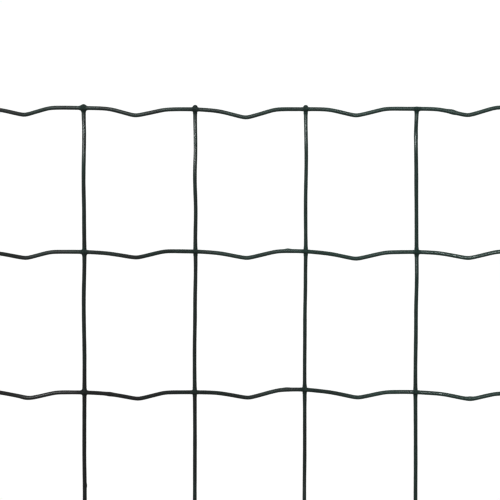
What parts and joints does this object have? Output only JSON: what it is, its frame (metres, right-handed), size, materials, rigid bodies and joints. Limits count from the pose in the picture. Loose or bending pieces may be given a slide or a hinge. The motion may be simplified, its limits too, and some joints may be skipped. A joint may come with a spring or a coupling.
{
  "type": "welded wire fencing sheet",
  "caption": "Flat length of green plastic-coated welded wire fence mesh, with crimped line wires welded over straight upright stays.",
  "frame": {"origin": "middle of the sheet's outline on the plane it lies on, under the stay wires", "axes": "+X along the fence, +Y up its height towards its top selvedge, +Z out of its face, from the stays towards the line wires"},
  "size_m": [1.024, 0.6086, 0.0042],
  "materials": {
    "coated_wire": "semi-gloss dark green PVC over galvanised steel wire"
  },
  "bodies": {
    "root": {"welded_mesh": "coated_wire"}
  },
  "joints": []
}
